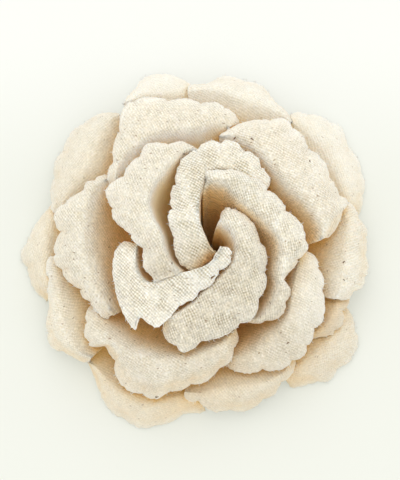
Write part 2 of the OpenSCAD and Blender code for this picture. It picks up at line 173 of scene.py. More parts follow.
# Painted shade deep in the folds: the less sky the cloth sees, the more its colour turns to this warm tint,
# as light that goes from cloth to cloth comes out warm
DEEP_SHADE_TINT = (1, 0.66, 0.27, 1)
SKY_OPEN = 0.88  # cloth that sees this much sky has no tint
SKY_STEP = 0.8  # cloth lower than this over a point hides no sky from it
LIT_SIDE = 0.3  # how much more the sky counts on the side of the light
WALL_DEPTH = 5  # how far down from its crest the cloth counts as all wall
# A rim gets this share of the sky that is hidden from it, and less and less down to this far from it, which
# lightens its painted shade
RIM_SKY = 0.3
RIM_SKY_DEPTH = 5
# The hidden side sees less sky than the visible one and so gets more painted shade, but on the low rings the
# floor lights it, and it gets less
HIDDEN_SKY = 0.7
LOW_RINGS = ("outer", "base")
LOW_HIDDEN_SKY = 0.85
# The weave stands out less on low petals, from and to these heights
CLEAR_HEIGHTS = (10.0, 34.0)
LOW_CLEAR = 0.4

# The plain materials: grain is in spots a metre
FELT = dict(colour=(0.62, 0.47, 0.3), roughness=0.95, grain=900.0)
STEEL = dict(colour=(0.62, 0.62, 0.64), roughness=0.3, grain=400.0, metallic=1.0)
FLAX_STALK = dict(colour=(0.2, 0.12, 0.06), roughness=0.8, grain=3000.0)
GRAIN_DARK = 0.8
GRAIN_BUMP = 0.4
GRAIN_RELIEF = 0.1

# The floor's own colour, and its glow, a painted light that softens its shade; the glow is dimmer and
# yellower to the front, a painted shade, and changes between these places to the back, in metres
FLOOR = (0.44, 0.447, 0.43, 1)
FRONT_SHADE_GLOW = (0.375, 0.385, 0.333, 1)
FAR_GLOW = (0.435, 0.44, 0.41, 1)
FLOOR_FADE = (0.015, 0.065)
FLOOR_HALF = 2.0
# The sky's light, and the key light at the back: its distance and size in metres, and its power
WORLD_COLOUR = (1, 0.995, 0.98, 1)
WORLD = 1.06
LIGHT_ELEVATION = 68
LIGHT_AWAY = 1.2
LIGHT_SIZE = 1.5
LIGHT_POWER = 4.45

# Thin bars: how far their middle bows out, their widths at start, middle and end, and their corners
BAR_BOW = 0.06
BAR_TAPER = (1, 0.8, 0.5)
BAR_CORNERS = ((1, 0), (0, 1), (-1, 0), (0, -1))
# Loose threads at the cut rims: the share of the rim's columns that has one, and how it lies
FRAY_SEED = 40
FRAY_SHARE = 0.4
FRAY_LENGTH = (0.2, 1.1)
FRAY_WIDTH = (0.16, 0.3)
FRAY_ROOT = 0.3
FRAY_DROOP = 0.15
FRAY_LEAN = 0.45
FRAY_STRAY = 0.12
# What the linen reads on a loose thread, with its painted light and shade
FRAY_VALUES = (("sky", 0.9), ("to_rim", 0.0), ("clear", 0.3), ("pale", 0.3), ("painted_shade", 0.0))
# The photo's largest flecks: photo pixels across and down, length and angle
FLECK_SEED = 41
FLECK_UP = 0.02
FLECK_WIDTH = (0.45, 0.6)
FLECKS = (
    (213, 277, 1.4, 20),
    (172, 263, 0.8, 60),
    (184, 154, 0.8, -20),
    (157, 397, 0.9, 10),
    (235, 138, 0.8, 40),
    (252, 139, 0.9, -30),
    (310, 161, 0.8, 70),
    (270, 189, 0.6, 0),
    (344, 262, 0.8, 30),
    (344, 280, 0.6, -50),
    (288, 343, 0.8, 15),
)

# Every petal is a table with one row for each section across its cloth, in order along the rim: fold x,
# fold y, fold height, rim x, rim y, rim height. Its rim goes in at the notches, which are row numbers.
# Its shape: foot is where a section stands, as a share of the way from the axis, or from stand, to its
# fold. bend is what it takes inside the fold to turn down, and its crest is roll outside the fold. waves is
# the height of its billows, even softens its scallops, and grain is the angle of its threads in degrees.
# Its tone: clear is how well the weave shows. The rest paints light and shade: pale and the value after it
# turn the cloth towards a painted light and a painted shade, and lift and shade do so on the wall alone.
# sink hides some of the sky from the cloth, and deep from the wall alone, which deepens the painted shade of
# the folds.
# A value holds for the whole petal, or goes by row, as pairs of a row and its value.
PETALS = {
    "heart_petal_1": dict(
        notches=(0, 1.05, 2.1, 3.2, 4.4, 6.4, 7.5, 8.7, 10, 11.1, 12),
        foot=((0, 0.5), (3, 0.5), (4, 0.65), (5, 0.85), (6, 1.1), (8, 1.2), (9, 1), (10, 0.9)), bend=1.2,
        roll=1.3, waves=0.12, grain=16,
        clear=1.4, painted_shade=((8, 0), (9.5, 0.6), (12, 1)), sink=((8, 0), (10, 0.2), (12, 0.3)),
        deep=((7.5, 0), (9, 0.25), (12, 0.4)),
        rows=(
            (17.1, 8.9, 33, 19.9, 12.8, 32),
            (13.9, 12.8, 33.5, 17.8, 17.8, 32.5),
            (9.7, 14.8, 34.3, 13.4, 22.5, 32.9),
            (5.5, 15.5, 35.5, 6.9, 24.9, 33.5),
            (2.4, 14.1, 36, 1.4, 24, 34.3),
            (1.1, 10.8, 38.9, -3.9, 20.1, 35.9),
            (0.8, 7.3, 40.3, -6.7, 14.6, 37.3),
            (0.8, 3.9, 41.1, -8, 7.8, 38.7),
            (1.1, 0.4, 41.6, -8.5, 1.5, 40.1),
            (2.2, -2.8, 40.6, -7.1, -5.8, 39.1),
            (3.1, -4.9, 39.2, -4.4, -11.9, 37.3),
            (3.8, -5.7, 37.8, 1, -11.3, 36.4),
            (4.4, -6.6, 37, 4.4, -7.9, 36.2),
        ),
    ),
    "heart_petal_2": dict(
        notches=(0, 1.4, 2.8, 4, 5.75, 7.05, 7.9, 9.5, 10),
        foot=0.5, bend=0.3, roll=2.2, waves=0.3, grain=-16,
        clear=0.75, painted_shade=((7, 0), (9, 0.7), (10, 0.9)), lift=((0, 0.2), (2, 0.4), (4, 1)),
        deep=((0, 0.5), (2, 0.35), (6, 0.3), (8, 0.15)),
        rows=(
            (0.8, 21.3, 32.9, -0.6, 23.2, 32.1),
            (-3.3, 20.4, 34.3, -6.1, 24.7, 32.1),
            (-6.3, 17.9, 36.5, -13.9, 24.1, 32.1),
            (-8.8, 14.4, 37.5, -17.8, 20.2, 31.9),
            (-11.6, 10.3, 38.1, -22, 15.5, 31.7),
            (-12.7, 6.3, 38.5, -25.9, 10.9, 32.1),
            (-11.6, 2.3, 38.8, -24.4, 4.2, 33.1),
            (-9.4, -1.7, 38.8, -20.2, -1.8, 35.3),
            (-8.3, -6, 38.5, -16.3, -6.8, 37.2),
            (-6.9, -9.3, 38, -15.1, -12.2, 37.6),
            (-3.6, -12.2, 37.2, -12.5, -15.8, 36.9),
        ),
    ),
    "heart_petal_3": dict(
        notches=(0, 1.2, 2.4, 3.9, 5, 7, 8, 12),
        foot=((0, 0.97), (4, 0.9), (6, 0.55)), bend=0.5, roll=0.4, waves=0.2, grain=3,
        clear=1.4, pale=0.1,
        rows=(
            (5.6, -6.7, 41, 7, -6.1, 40.9),
            (4.6, -8.3, 41.2, 9.2, -8.2, 40.6),
            (2.4, -10.7, 41, 7.4, -11.9, 40.2),
            (0.3, -11.65, 40.1, 3.6, -15.6, 39.4),
            (-3.3, -12.5, 38, -0.3, -19.2, 38.4),
            (-7.7, -13.2, 36.1, -5.5, -22.7, 37.1),
            (-11.5, -14.3, 35.3, -11.6, -27.6, 36.1),
            (-13.1, -15, 35.2, -16.6, -25.8, 35.4),
            (-14.6, -15, 35.2, -18.7, -28.6, 33.5),
            (-16.6, -13.1, 35.3, -22.2, -21.9, 32.5),
            (-17.4, -10.1, 34.9, -24.1, -12.2, 32.5),
            (-17.4, -6.7, 34.1, -23.4, -6, 31.9),
            (-17, -4.6, 33.3, -21.6, -3.2, 31.4),
        ),
    ),
    "heart_petal_4": dict(
        notches=(0, 1, 2.85, 4.25, 5.3, 6.5, 8, 9.2, 10),
        foot=((0, 0.2), (4, 0.65)), stand=(2.4, -4.1), bend=((0, 4), (3, 3), (5, 1.5)), roll=2.2,
        waves=0.3, grain=-22,
        clear=1.15, painted_shade=((0, 0), (1.5, 0), (4, 0.55)), lift=((0, 1), (2, 0.7), (3.5, 0)),
        rows=(
            (5.6, 0.4, 38.2, 5.4, 3.6, 37),
            (7.9, -1.5, 38.9, 8.8, 5.7, 36.6),
            (8.9, -3.5, 38.5, 14.1, 1.1, 35.5),
            (9.2, -6.3, 38.3, 17.4, -4.7, 34.8),
            (7.8, -9.4, 38.1, 18.6, -10.9, 34.3),
            (5.4, -12.1, 37.8, 17.5, -17.9, 33.8),
            (2.5, -14.6, 37.3, 14.4, -24.9, 33.3),
            (-0.6, -17.4, 36.7, 8.3, -29, 32.9),
            (-3.3, -20.4, 36.1, 0.6, -31.9, 32.5),
            (-6.1, -22.6, 35.5, -5.5, -34.2, 32.1),
            (-8, -23.2, 34.9, -10.8, -28.2, 32.5),
        ),
    ),
    "heart_petal_5": dict(
        notches=(0, 3.45, 4.45, 5.55, 6.9, 8, 9.3, 10.6, 12, 13),
        foot=((0, 0.15), (2, 0.2), (4, 0.4)), stand=(1.1, -3.9), bend=2.5,
        roll=((0, 2.5), (5, 2), (7, 0.8), (10, 1.5)), waves=0.25, grain=-28,
        painted_shade=((8, 0), (10, 0.6), (13, 1)), shade=((0, 0.6), (2, 0.65), (5, 0.5)),
        deep=((0, 0.3), (3, 0.3), (6, 0.15)),
        rows=(
            (0.95, 9.6, 36.5, 0.9, 12.8, 36.3),
            (3.2, 11.8, 38.1, 1.8, 15.1, 37.6),
            (5.8, 11.6, 39.1, 6.1, 15.5, 37.5),
            (8.5, 9.1, 38.9, 11.9, 15.6, 36.5),
            (11.8, 5.9, 38.1, 17.2, 12.9, 34.9),
            (15.7, 3, 37.1, 21.9, 8.5, 33.5),
            (19.6, -0.2, 36.1, 26.8, 3, 32.1),
            (22.5, -4.2, 35.1, 30.1, -3.5, 30.9),
            (22.2, -8.7, 34.3, 27.7, -8.3, 30.5),
            (20.9, -13, 33.3, 24, -12.9, 30.9),
            (20.9, -17, 32.1, 25.2, -16.9, 29.5),
            (19, -21.2, 30.9, 23.6, -22.2, 28.5),
            (15.4, -24, 30, 18.6, -25.8, 27.9),
            (11.2, -24.1, 29.9, 11.5, -25.2, 28.5),
        ),
    ),
    "middle_petal_1": dict(
        notches=(0, 2.4, 3.6, 4.85, 6.4, 7.4, 8.7, 10),
        foot=0.55, bend=0.8, roll=3.2, waves=0.55, even=0.15, grain=22,
        clear=0.8, lift=((0, 0.5), (4, 0.5), (6, 0)), deep=((4, 0), (8, 0.45)),
        rows=(
            (5.6, 26, 28, 5.3, 29.1, 26.5),
            (10.6, 24.2, 29, 10.7, 31.6, 25),
            (14.5, 21.6, 29.4, 17.4, 32.6, 24.4),
            (17.9, 18.1, 29.8, 23.9, 32.8, 24.2),
            (21.2, 14.1, 30, 27.9, 29.4, 24),
            (24.3, 10.7, 30, 31.6, 24.4, 23.8),
            (27.4, 8, 29.6, 36.2, 19.7, 23),
            (29.9, 4.9, 29, 38.8, 13.8, 22.4),
            (31.6, 1.7, 28, 42.2, 10, 21.6),
            (32.3, -0.9, 26.6, 40.3, 5.7, 21.6),
            (31.8, -2.7, 25, 36.8, -0.6, 22),
        ),
    ),
    "middle_petal_2": dict(
        notches=(0, 1.35, 2.85, 4.2, 5.5, 6.7, 7.9, 9),
        foot=0.55, bend=0.8, roll=2.8, waves=0.55, even=0.2, grain=-12,
        clear=0.8, lift=0.9, deep=-0.2,
        rows=(
            (-21.9, 11.5, 27, -26, 14.6, 25.6),
            (-21.8, 16, 27.6, -25.6, 19.3, 25),
            (-20.2, 19.6, 28.2, -24.6, 25.1, 24.4),
            (-17.1, 22.8, 28.6, -22.9, 30.9, 24),
            (-13.1, 25.4, 28.8, -20.1, 38.1, 23.4),
            (-8.9, 26.7, 29, -12.7, 39.5, 23.2),
            (-4.2, 27, 29, -4.8, 39.2, 23.2),
            (0, 27.6, 28.2, 2.3, 38.3, 23.2),
            (3.4, 29.1, 26.2, 7.6, 36.9, 23),
            (6.7, 30.1, 24.2, 11.6, 32.6, 22.6),
        ),
    ),
    "middle_petal_3": dict(
        notches=(0, 0.8, 1.6, 2.6, 3.85, 4.9, 5.8, 7.15, 8.1, 9),
        foot=0.55, bend=0.8, roll=3.2, waves=0.55, even=0.15, grain=-5,
        clear=0.85, painted_shade=0.1,
        rows=(
            (-24.7, 15.2, 24, -26, 18.1, 23),
            (-27, 12.4, 25, -31.6, 16.1, 22),
            (-28.6, 8.3, 26, -35, 11.7, 21),
            (-29.4, 4.3, 26.6, -40.5, 7.2, 20.4),
            (-29.6, -0.4, 27, -40.5, 0.4, 20.2),
            (-29.1, -5.5, 27, -41.9, -5.6, 20),
            (-27.7, -10.5, 26.6, -38.8, -10.5, 20.4),
            (-26.1, -15, 26, -34.5, -14.6, 21),
            (-24.1, -18.6, 25.4, -31.6, -18.4, 21.8),
            (-21.9, -21.7, 24.9, -26.4, -24.4, 22.8),
        ),
    ),
    "middle_petal_4": dict(
        notches=(0, 0.8, 1.8, 2.75, 3.45, 5.5, 6.7, 7.6, 9, 10.3, 11),
        foot=0.55, bend=1, roll=3, waves=0.55, grain=12,
        clear=0.65, painted_shade=0.2,
        rows=(
            (-27, -21.3, 20.8, -31.1, -19.2, 19),
            (-25.9, -24.5, 22.2, -32.6, -25.7, 18.8),
            (-23, -27.6, 24.6, -31.8, -31.1, 19),
            (-19.6, -30.2, 26, -26.3, -33, 19),
            (-15.9, -32, 26.8, -23.8, -39.5, 18.6),
            (-11.7, -32.9, 27.2, -19.3, -43.8, 18.4),
            (-7.8, -33.1, 27.4, -13.1, -45.5, 18.2),
            (-3.4, -32.6, 27.4, -6.5, -43.8, 18.4),
            (0.8, -31.1, 27.6, 0, -41.9, 19),
            (4.5, -29, 27.8, 5.7, -38.5, 20.6),
            (7.3, -26.6, 27.4, 9.4, -34.3, 22.4),
            (8.7, -24.2, 26.4, 11.3, -28.9, 24),
        ),
    ),
    "middle_petal_5": dict(
        notches=(0, 0.9, 1.85, 3.7, 4.6, 5.6, 6.8, 8),
        foot=0.55, bend=0.8, roll=((0, 0.3), (3, 0.8), (5, 3)), waves=0.55, even=0.1, grain=21,
        clear=0.8, pale=((0, 0.2), (3, 0.15), (5, 0)), painted_shade=((0, 0), (3, 0), (5, 0.5)),
        rows=(
            (28.6, -4.6, 24.2, 32.2, -5.4, 22.8),
            (27.4, -8, 25.2, 34.7, -9.8, 21.6),
            (26, -12.1, 25.8, 35.7, -16.2, 20.6),
            (24.8, -16.7, 25.8, 34.4, -23.4, 20),
            (23.6, -20.9, 25, 31.9, -27.9, 19.6),
            (20.6, -24.6, 24.2, 29.6, -33.6, 19),
            (17.2, -27.6, 23.6, 23.9, -37.1, 18.6),
            (13.9, -30.4, 22.6, 16.2, -38.6, 18.4),
            (10.4, -31.8, 20.8, 7.4, -37.4, 18),
        ),
    ),
    "outer_petal_1": dict(
        notches=(0, 1.2, 2.3, 3.5, 4.8, 6.1, 7),
        foot=0.58, bend=1, roll=3.6, waves=0.55, even=0.25, grain=70,
        pale=0.22, painted_shade=0.15,
        rows=(
            (37.4, 10.8, 15.4, 43.8, 11.2, 11.6),
            (38, 6.6, 16.2, 45.7, 7.8, 9),
            (38.3, 2.4, 16.6, 48.4, 3.7, 6.6),
            (38, -2.2, 16.8, 48.8, -0.9, 5.2),
            (37.4, -6.8, 16.4, 49.4, -5.3, 5),
            (36.8, -11, 16.2, 48.1, -10.6, 7.6),
            (36.3, -14.3, 16.2, 44.8, -14.4, 11.2),
            (35.7, -17, 15.8, 41.3, -17.4, 12.8),
        ),
    ),
    "outer_petal_2": dict(
        notches=(0, 1.1, 3.25, 5.4, 7),
        foot=0.54, bend=1, roll=3, waves=0.55, even=0.5, grain=15,
        pale=0.28, painted_shade=0.2,
        rows=(
            (-3.4, 40.6, 15.8, -3.5, 46.4, 12.4),
            (1.4, 41, 15.4, 1.2, 48.3, 9.4),
            (6.5, 40, 15.6, 6.6, 50.3, 7.4),
            (10.8, 38.2, 15.8, 12.2, 50, 6.2),
            (14.8, 36.5, 15.8, 17.9, 48.3, 6),
            (18.5, 35.2, 15.4, 21.7, 43.3, 7.4),
            (22.2, 34, 15, 24.6, 39.2, 9.2),
            (25.1, 33.1, 14.2, 26.8, 35.6, 10.8),
        ),
    ),
    "outer_petal_3": dict(
        notches=(0, 1.8, 3.45, 4.85, 6.2, 7),
        foot=0.58, bend=1, roll=3.4, waves=0.55, even=0.35, grain=85,
        pale=0.2, painted_shade=0.4,
        rows=(
            (-22, 34.4, 16.2, -24.1, 38.3, 13),
            (-24.6, 30.6, 16.8, -29.7, 37.8, 9.4),
            (-26.3, 26.3, 17.2, -35.6, 35.4, 7),
            (-27.7, 22, 17.2, -39.5, 30.6, 6),
            (-29.7, 17.8, 16.8, -42.1, 25.3, 6.2),
            (-32.3, 14.3, 15.8, -43.5, 19, 7.4),
            (-35.2, 11.4, 15, -43.5, 13, 10),
            (-37.5, 8.6, 14.2, -42.4, 8.6, 11.4),
        ),
    ),
    "outer_petal_4": dict(
        notches=(0, 1.3, 2.6, 4, 5.4, 7),
        foot=0.58, bend=1, roll=3, waves=0.55, even=0.3, grain=30,
        pale=0.15, painted_shade=0.15,
        rows=(
            (-36.9, -6.6, 14.4, -43.4, -4, 12.2),
            (-36.9, -11.8, 14.8, -43.9, -9.4, 11.6),
            (-36.6, -16.8, 14.8, -43.8, -15, 10.4),
            (-36.1, -21.3, 14.6, -44.1, -20.5, 7.6),
            (-35.3, -25.1, 14.4, -44, -25.6, 5.8),
            (-33.9, -27.9, 14, -41.9, -30.2, 6),
            (-31.9, -30.1, 13.6, -36.5, -33, 7.8),
            (-29.7, -31.8, 13, -31.7, -35.1, 9.6),
        ),
    ),
    "outer_petal_5": dict(
        notches=(0, 1.65, 2.95, 4.55, 6.1, 7),
        foot=0.58, bend=1, roll=3, waves=0.55, even=0.2, grain=-5,
        pale=0.2, painted_shade=0.5,
        rows=(
            (25, -32.3, 14, 27.7, -34.7, 11),
            (22.5, -35.2, 14.4, 25.6, -38.6, 10),
            (18.8, -37.3, 14.4, 22.6, -42.1, 8.4),
            (14.2, -38.8, 14.4, 18, -45.6, 6.6),
            (9.4, -39.1, 14.2, 12.6, -48.1, 5.8),
            (4.5, -39.3, 13.8, 5.2, -48.6, 6.8),
            (0, -40.9, 13.2, 0, -46.7, 9),
            (-4, -42, 12.6, -4.6, -44.6, 10.4),
        ),
    ),
    "outer_petal_6": dict(
        notches=(0, 1.2, 2.7, 5),
        foot=0.63, bend=1, roll=2, waves=0.3, even=0.2, grain=50,
        pale=0.3, painted_shade=1, sink=0.3, deep=0.2,
        rows=(
            (37.4, -14.2, 12, 43.8, -15.4, 8.6),
            (36.8, -17.9, 13.8, 41.6, -19.4, 10.6),
            (35.7, -21.2, 15, 40.7, -23.7, 11.4),
            (33.2, -23.8, 15.4, 38, -26.7, 11.6),
            (30.3, -26, 15.4, 33.8, -27.6, 12),
            (28, -27.8, 15, 30.4, -28.8, 12.4),
        ),
    ),
    "base_petal_1": dict(
        notches=(0, 1.2, 2.5, 4.2, 5.6, 6.9, 8),
        foot=0.64, bend=1, roll=2.5, waves=0.35, even=0.5, grain=-25,
        pale=0.35, painted_shade=0.15,
        rows=(
            (26.6, 33.4, 10.6, 26, 38.9, 8),
            (29.4, 30.7, 11, 30.8, 39.9, 5),
            (32.3, 27.5, 11, 36.4, 38.6, 3),
            (34.9, 24, 11, 41.2, 36.4, 1.8),
            (36.9, 20.2, 11, 43.8, 31.2, 1.4),
            (38.3, 16.4, 11, 46.5, 26.3, 1.2),
            (39.2, 12.6, 10.8, 48, 20.7, 1.2),
            (39.5, 9.2, 10.6, 47.9, 15.3, 1.6),
            (39.5, 6.1, 10.4, 46.3, 9, 3),
        ),
    ),
    "base_petal_2": dict(
        notches=(0, 1.5, 3, 5),
        foot=0.64, bend=1, roll=2.5, waves=0.3, even=0.5, grain=75,
        pale=0.4, painted_shade=0.15,
        rows=(
            (-21.2, 38.2, 14.4, -22.8, 41, 9),
            (-17.7, 39.4, 14.8, -20.6, 44.8, 7),
            (-14, 40, 15, -16.9, 49.8, 5.2),
            (-10.3, 40.3, 15, -11.6, 51.9, 4),
            (-6.9, 40.3, 14.2, -7, 50.1, 5),
            (-1.1, 40.3, 13.2, -1.2, 47, 7),
        ),
    ),
    "base_petal_3": dict(
        notches=(0, 2.1, 3.9, 6),
        foot=0.64, bend=1, roll=2.5, waves=0.3, even=0.4, grain=-70,
        pale=0.2, painted_shade=0.3,
        rows=(
            (-38.7, 10.6, 10, -44.1, 12.4, 5),
            (-39.8, 6.6, 10.4, -47.2, 7.8, 3),
            (-40.7, 2, 10.4, -50.5, 1.9, 1.6),
            (-41, -2.7, 10.4, -52.1, -2.5, 1.2),
            (-40.7, -7.4, 10.2, -51, -6.4, 1.2),
            (-40.4, -11.7, 10, -48.3, -11.8, 1.6),
            (-39.9, -15.7, 9.6, -44.9, -15.9, 2.4),
        ),
    ),
    "base_petal_4": dict(
        notches=(0, 1.8, 3.5, 5.2, 6.6, 8),
        foot=0.64, bend=1, roll=2.5, waves=0.35, even=0.4, grain=20,
        pale=0.3, painted_shade=0.4,
        rows=(
            (-31.2, -32, 9.4, -32.9, -34.2, 3.6),
            (-28.2, -34.2, 10.2, -30.1, -38.8, 1.8),
            (-25, -37.3, 10.4, -28.6, -43.7, 1.2),
            (-21.3, -39.9, 10.4, -25.2, -48.7, 1),
            (-17.3, -41.6, 10.4, -19.6, -51.4, 1),
            (-13, -42.5, 10.4, -14.1, -52, 1),
            (-8.6, -42.1, 10.2, -8.2, -50.3, 1.2),
            (-4.6, -41.4, 9.6, -2.6, -48.5, 1.6),
            (-0.9, -41.4, 9.2, 1.8, -48.3, 2.4),
        ),
    ),
    "base_petal_5": dict(
        notches=(0, 1.5, 3, 4.2, 5.6, 7),
        foot=0.7, bend=1, roll=2.5, waves=0.35, even=0.3, grain=65,
        pale=0.25, painted_shade=0.55,
        rows=(
            (37.6, -18.4, 9.2, 42.2, -17, 5),
            (37, -22, 9.6, 44.8, -21.6, 3),
            (35.2, -25.5, 10, 45.8, -26.8, 1.8),
            (32.8, -28.7, 10.2, 44.3, -31.9, 1.4),
            (30, -31.1, 10.2, 40.7, -35.1, 1.2),
            (26.8, -33, 10, 37.5, -39, 1.2),
            (24, -34.8, 9.6, 32.1, -40.2, 1.6),
            (21.6, -36.5, 9.2, 26.2, -41.6, 2.6),
        ),
    ),
}


# The petal's painted light and painted shade, which may go by row
PAINTED_TONES = ("pale", "painted_shade", "lift", "shade", "sink", "deep")


def along_rim(value, u):
    """A petal's value at each u: one number, or pairs of a row and the value there."""
    pairs = value if isinstance(value, tuple) else ((0, value),)
    return np.interp(u, *zip(*pairs))[:, None]


def smooth_rows(rows, u):
    """The table's row at each u, where whole numbers are its rows."""
    rows = np.array(rows, float)
    last = len(rows) - 1
    i = np.minimum(u.astype(int), last - 1)
    f = (u - i)[:, None]
    a, b, c, d = rows[np.maximum(i - 1, 0)], rows[i], rows[i + 1], rows[np.minimum(i + 2, last)]
    return (2 * b + (c - a) * f + (2 * a - 5 * b + 4 * c - d) * f**2 + (3 * b - 3 * c + d - a) * f**3) / 2


def bezier(a, b, c, d, f):
    """Points along the curves of a, b, c and d (one curve a row), one column for each f."""
    f = np.asarray(f)[None, :, None]
    a, b, c, d = (p[:, None, :] for p in (a, b, c, d))
    return a * (1 - f) ** 3 + 3 * b * f * (1 - f) ** 2 + 3 * c * f**2 * (1 - f) + d * f**3


def length(v):
    return np.linalg.norm(v, axis=-1, keepdims=True)


def unit(v):
    return v / np.maximum(length(v), LEAST_LENGTH)


def flat_of(p):
    """The same vectors with no height."""
    return p * np.array([1, 1, 0])


def ripple(x, y, size, rng):
    """Smooth irregular waves of about that size, mostly between -1 and 1."""
    total = np.zeros(np.broadcast(x, y).shape)
    for _ in range(RIPPLE_WAVES):
        angle, phase = rng.uniform(0, 2 * math.pi, 2)
        scale = 2 * math.pi / (size * rng.uniform(*RIPPLE_SPREAD))
        total += np.sin(scale * (x * math.cos(angle) + y * math.sin(angle)) + phase)
    return total / math.sqrt(RIPPLE_WAVES)


def rim_columns(petal, rng):
    """Each column's place in the table, how far its rim stands out, and its place in its lobe."""
    u, out, lobe_at = [], [], []
    notches = petal["notches"]
    even = petal.get("even", 0)
    for start, end in zip(notches, notches[1:]):
        rims = smooth_rows(petal["rows"], np.array([start, end], float))[:, 3:]
        wide = float(length(rims[1] - rims[0])[0])
        count = max(LEAST_COLUMNS, round(wide / COLUMN))
        t = np.arange(count) / count
        lobe = min(NOTCH_IN + LOBE_OUT, LOBE_SHARE * wide) * rng.uniform(*LOBE_HEIGHTS)
        arc = np.sin(math.pi * t ** rng.uniform(*LOBE_SKEWS))
        u.extend(start + (end - start) * t)
        out.extend((1 - even) * (lobe * arc**LOBE_ROUND - NOTCH_IN))
        lobe_at.extend(arc)
    u.append(notches[-1])
    out.append((even - 1) * NOTCH_IN)
    lobe_at.append(0)
    waver = RIM_WAVER * ripple(np.arange(len(out)) * COLUMN, 0, RIM_WAVER_SIZE, rng)
    out = np.array(out) + waver + rng.normal(0, RIM_ROUGH, len(out))
    return np.array(u), out, np.array(lobe_at)


def shape_petal(petal, rng):
    """The petal's visible side as a grid of points, one section of the cloth a row.

    With it come the distances along each section from its crest and along the crests, the flat
    coordinates, the columns' places in their lobes, and its painted light and shade.
    """
    u, out, lobe_at = rim_columns(petal, rng)
    row = smooth_rows(petal["rows"], u)
    fold, rim = row[:, :3], row[:, 3:]
    share, bend, roll = (along_rim(petal[key], u) for key in ("foot", "bend", "roll"))
    stand = np.array(petal.get("stand", AXIS))
    foot = np.column_stack([stand + share * (fold[:, :2] - stand), np.full(len(u), FOOT_Z)])
    flap = rim - fold
    edge = rim + unit(flap) * np.maximum(out[:, None], -MOST_NOTCH * length(flap))
    outward = unit(flat_of(flap))
    crest = fold + outward * np.minimum(roll, MOST_ROLL * length(flap)) + np.array([0, 0, CREST_UP])
    back = flat_of(foot - fold)
    turn = fold + unit(back) * np.minimum(bend, MOST_BEND * length(back)) - np.array([0, 0, TURN_DOWN])
    upright = foot + (fold - foot) * np.array(UPRIGHT)
    level = crest + FLAP_LEVEL * flat_of(edge - crest)
    wall_f = 1 - np.linspace(1, 0, WALL_STEPS + 1) ** WALL_EASE
    flap_f = np.linspace(0, 1, FLAP_STEPS + 1)[1:]
    face = np.concatenate([
        bezier(foot, upright, turn, crest, wall_f),
        bezier(crest, (crest + 2 * level) / 3, (edge + 2 * level) / 3, edge, flap_f),
    ], axis=1)
    steps = length(np.diff(face, axis=1))[..., 0]
    arc = np.cumsum(np.concatenate([np.zeros((len(u), 1)), steps], axis=1), axis=1)
    arc = arc - arc[:, WALL_STEPS:WALL_STEPS + 1]
    along = np.concatenate([[0], np.cumsum(length(np.diff(crest, axis=0))[:, 0])])[:, None] + 0 * arc
    inward = unit(outward + WALL_AHEAD * unit(outward.mean(0)))
    spread = np.where(arc[..., None] > 0, outward[:, None, :], inward[:, None, :])
    flat = flat_of(crest)[:, None, :] + spread * arc[..., None]
    painted_tones = {key: along_rim(petal.get(key, 0), u) + 0 * arc for key in PAINTED_TONES}
    return face, arc, along, flat[..., :2], lobe_at, painted_tones


def smooth_along(value, columns):
    """A running mean over that many columns to each side."""
    padded = np.pad(value, ((columns, columns), (0, 0)), mode="edge")
    return sum(padded[k:k + len(value)] for k in range(2 * columns + 1)) / (2 * columns + 1)


def grid_quads(rows, cols):
    """The faces of a grid of points that are counted row by row."""
    index = np.arange(rows * cols).reshape(rows, cols)
    return np.stack([index[:-1, :-1], index[1:, :-1], index[1:, 1:], index[:-1, 1:]], -1).reshape(-1, 4)


def cloth_tree(petals):
    """All petals' visible sides, to find what a ray meets."""
    points, quads = [], []
    for face, *_ in petals.values():
        quads += (grid_quads(*face.shape[:2]) + len(points)).tolist()
        points += face.reshape(-1, 3).tolist()
    return BVHTree.FromPolygons(points, quads)


def room_below(tree, points):
    """How far each point can fall until it meets cloth or the floor."""
    rooms = []
    for p in points:
        *_, fall = tree.ray_cast(Vector(p), Vector((0, 0, -1)), RAY_LENGTH)
        rooms.append(p[2] - FLOOR_ROOM if fall is None else fall)
    return np.array(rooms)


def settle(petals):
    """Lowers the edges of the flaps towards the cloth under them, as soft cloth lies."""
    tree = cloth_tree(petals)
    for face, arc, along, *_ in petals.values():
        flap = slice(WALL_STEPS + 1, None)
        start = face[:, flap] - np.array([0, 0, RAY_START])
        room = room_below(tree, start.reshape(-1, 3)).reshape(start.shape[:2])
        room = np.maximum(room + RAY_START - LIE_ROOM, 0)
        share = arc[:, flap] / np.maximum(arc[:, -1:], 1)
        side = np.minimum(along, along[-1:] - along)[:, flap]
        weight = np.clip((share - LIE_FROM) / (1 - LIE_FROM), 0, 1) ** LIE_EASE
        lowest = np.minimum(room[:, -EDGE_POINTS:].min(axis=1, keepdims=True) * LIE_SHARE, MOST_LIE)
        lowest = smooth_along(lowest, EDGE_SMOOTH)
        near_side = np.clip(1 - side / SIDE_SOFT, 0, 1) ** SIDE_EASE
        at_side = share**SIDE_FLAP_EASE * near_side * np.minimum(room * LIE_SHARE, MOST_SIDE_LIE)
        drop = smooth_along(np.minimum(np.maximum(weight * lowest, at_side), room), DROP_SMOOTH)
        drop = np.minimum(drop, room)
        # Along the camera's line of sight, so that the edge stays where the photo has it
        face[:, flap] += drop[..., None] * np.array([0, SIGHT_SLOPE, -1])


def grid_normals(face):
    """Each point's normal, out of the side whose rim looks up."""
    n = unit(np.cross(np.gradient(face, axis=0), np.gradient(face, axis=1)))
    return n if n[len(n) // 2, -3, 2] > 0 else -n


def petal_cup(lobe_at, rng):
    """How far each column's rim stands up, a little differently in each lobe."""
    lobe = np.cumsum(lobe_at == 0)
    return LOBE_CUP * rng.uniform(*CUP_SPREAD, lobe[-1] + 1)[lobe] * (lobe_at - CUP_LEVEL)


